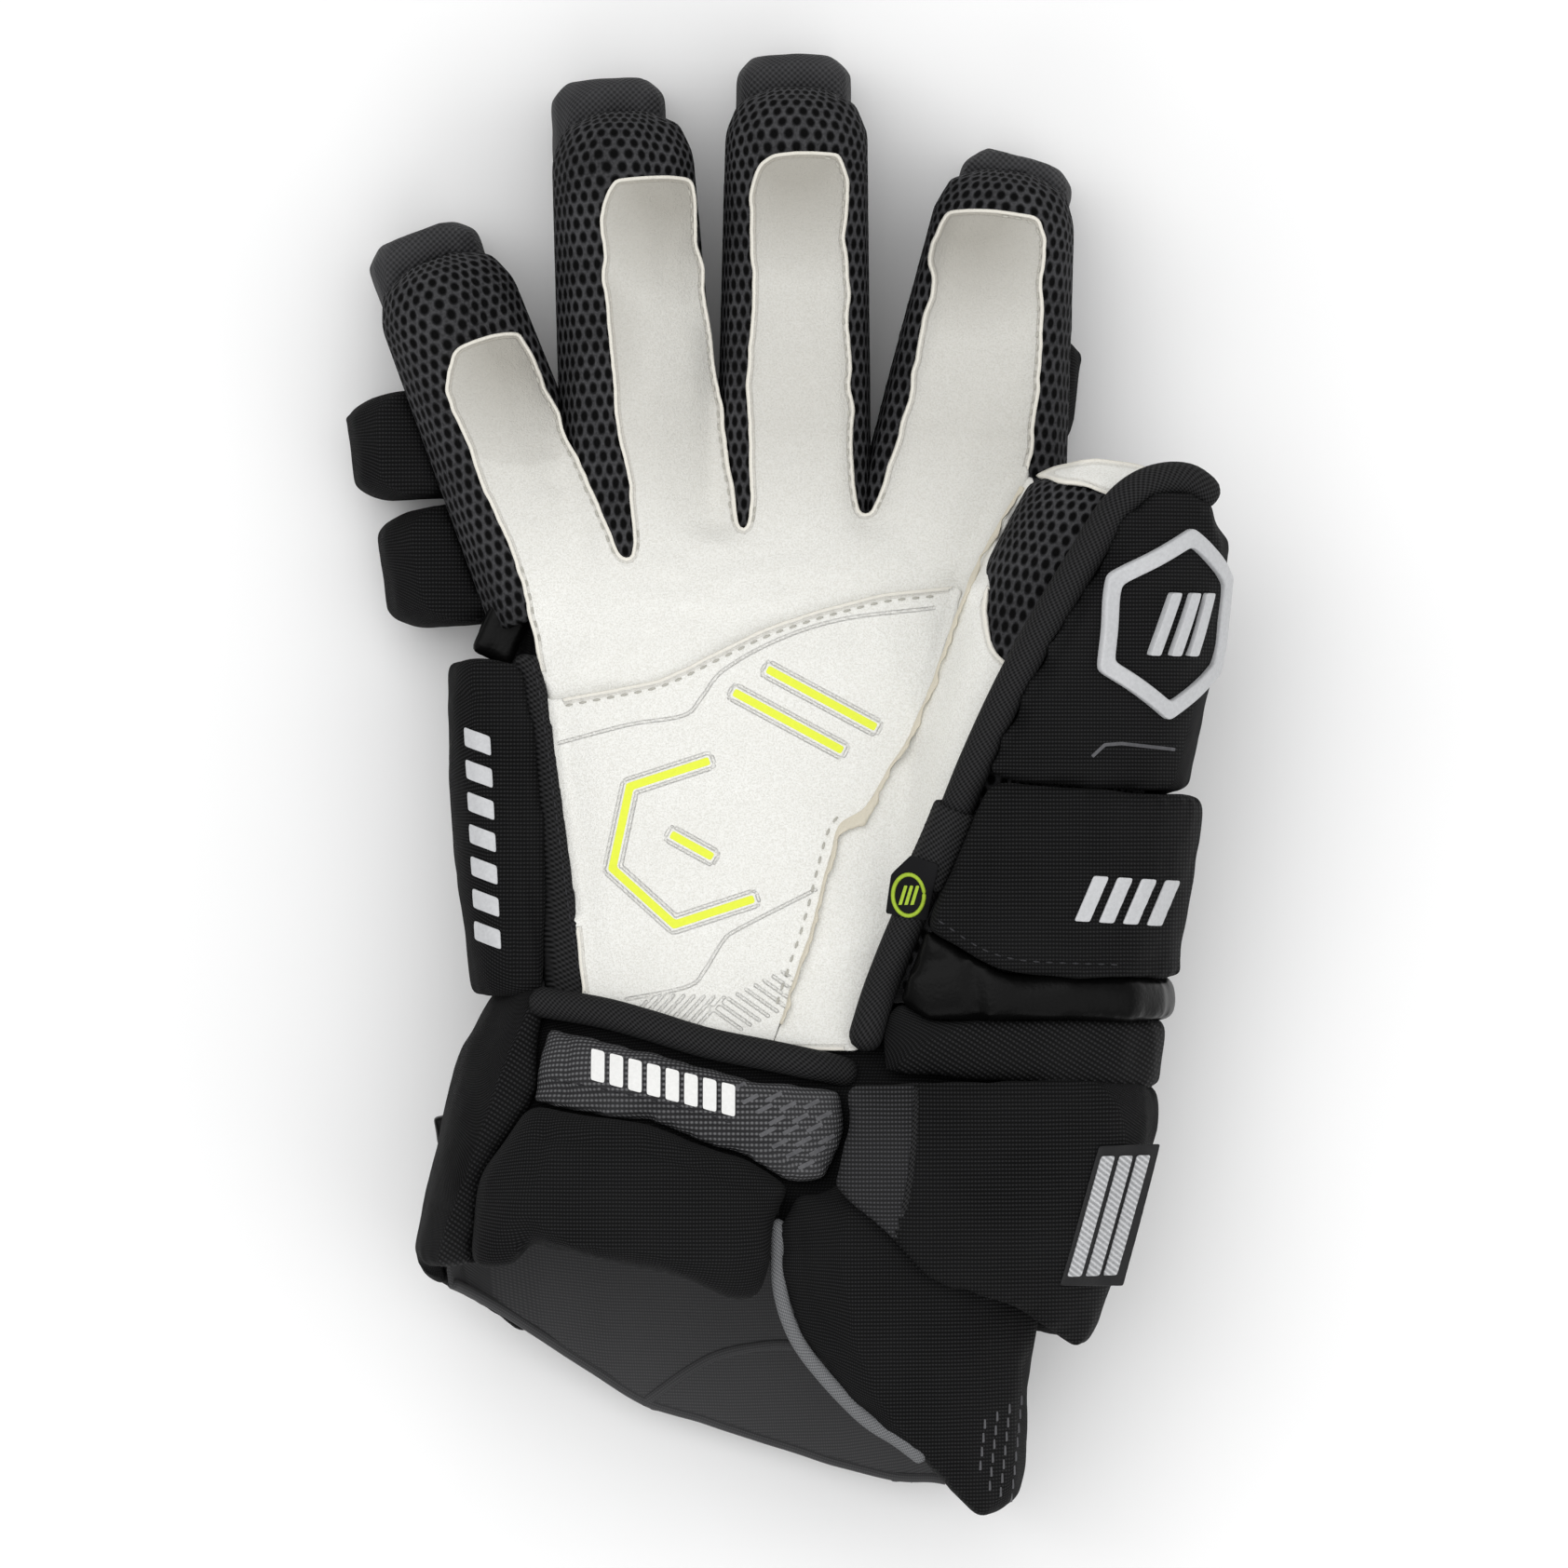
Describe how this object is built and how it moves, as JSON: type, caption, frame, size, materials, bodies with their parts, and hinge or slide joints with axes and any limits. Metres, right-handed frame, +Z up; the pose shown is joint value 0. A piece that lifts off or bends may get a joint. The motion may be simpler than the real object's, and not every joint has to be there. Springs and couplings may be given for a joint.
{
  "type": "ice hockey glove",
  "caption": "Right-hand ice hockey glove lying palm up: white suede palm, black mesh fingers, padded thumb, foam rolls on its back and a flared padded cuff.",
  "frame": {"origin": "middle of the bounding box in X and Y, on the plane that the back of the glove rests on", "axes": "+Y towards the fingertips, +X towards the thumb, +Z up out of the palm"},
  "size_m": [0.2126, 0.3544, 0.0979],
  "materials": {
    "suede": "white synthetic suede, matt",
    "mesh": "black spacer mesh with open holes",
    "nylon": "black woven nylon",
    "knit": "black ribbed knit over foam",
    "leather": "black synthetic leather, satin",
    "lining": "dark grey brushed lining",
    "rubber": "silver grey moulded rubber, satin"
  },
  "bodies": {
    "root": {"palm": "suede", "palm_patch": "suede", "thumb_leather": "suede", "thumb_tip_leather": "suede", "finger_tube_little": "mesh", "finger_tube_ring": "mesh", "finger_tube_middle": "mesh", "finger_tube_index": "mesh", "thumb_tube": "mesh", "tip_cap_little": "nylon", "tip_cap_ring": "nylon", "tip_cap_middle": "nylon", "tip_cap_index": "nylon", "side_tape": "nylon", "thumb_edge_roll": "nylon", "loop_label": "nylon", "wrist_edge_roll": "nylon", "finger_pad_little_outer": "knit", "finger_pad_little_inner": "knit", "finger_pad_ring_outer": "knit", "finger_pad_ring_inner": "knit", "finger_pad_middle_outer": "knit", "finger_pad_middle_inner": "knit", "finger_pad_index_outer": "knit", "finger_pad_index_inner": "knit", "knuckle_roll": "knit", "back_roll_1": "knit", "back_roll_2": "knit", "back_roll_3": "knit", "back_roll_4": "knit", "side_pad": "knit", "thumb_shell": "knit", "thumb_roll": "knit", "wrist_strap": "knit", "cuff_front_pad": "knit", "cuff_left_panel": "knit", "cuff_side_flap": "knit", "cuff_back_pad": "knit", "cuff_roll": "knit", "thumb_leather_pad": "leather", "thumb_base_panel": "leather", "hand_lining": "lining", "cuff_lining": "lining", "thumb_badge": "rubber", "cuff_badge": "rubber"}
  },
  "joints": []
}
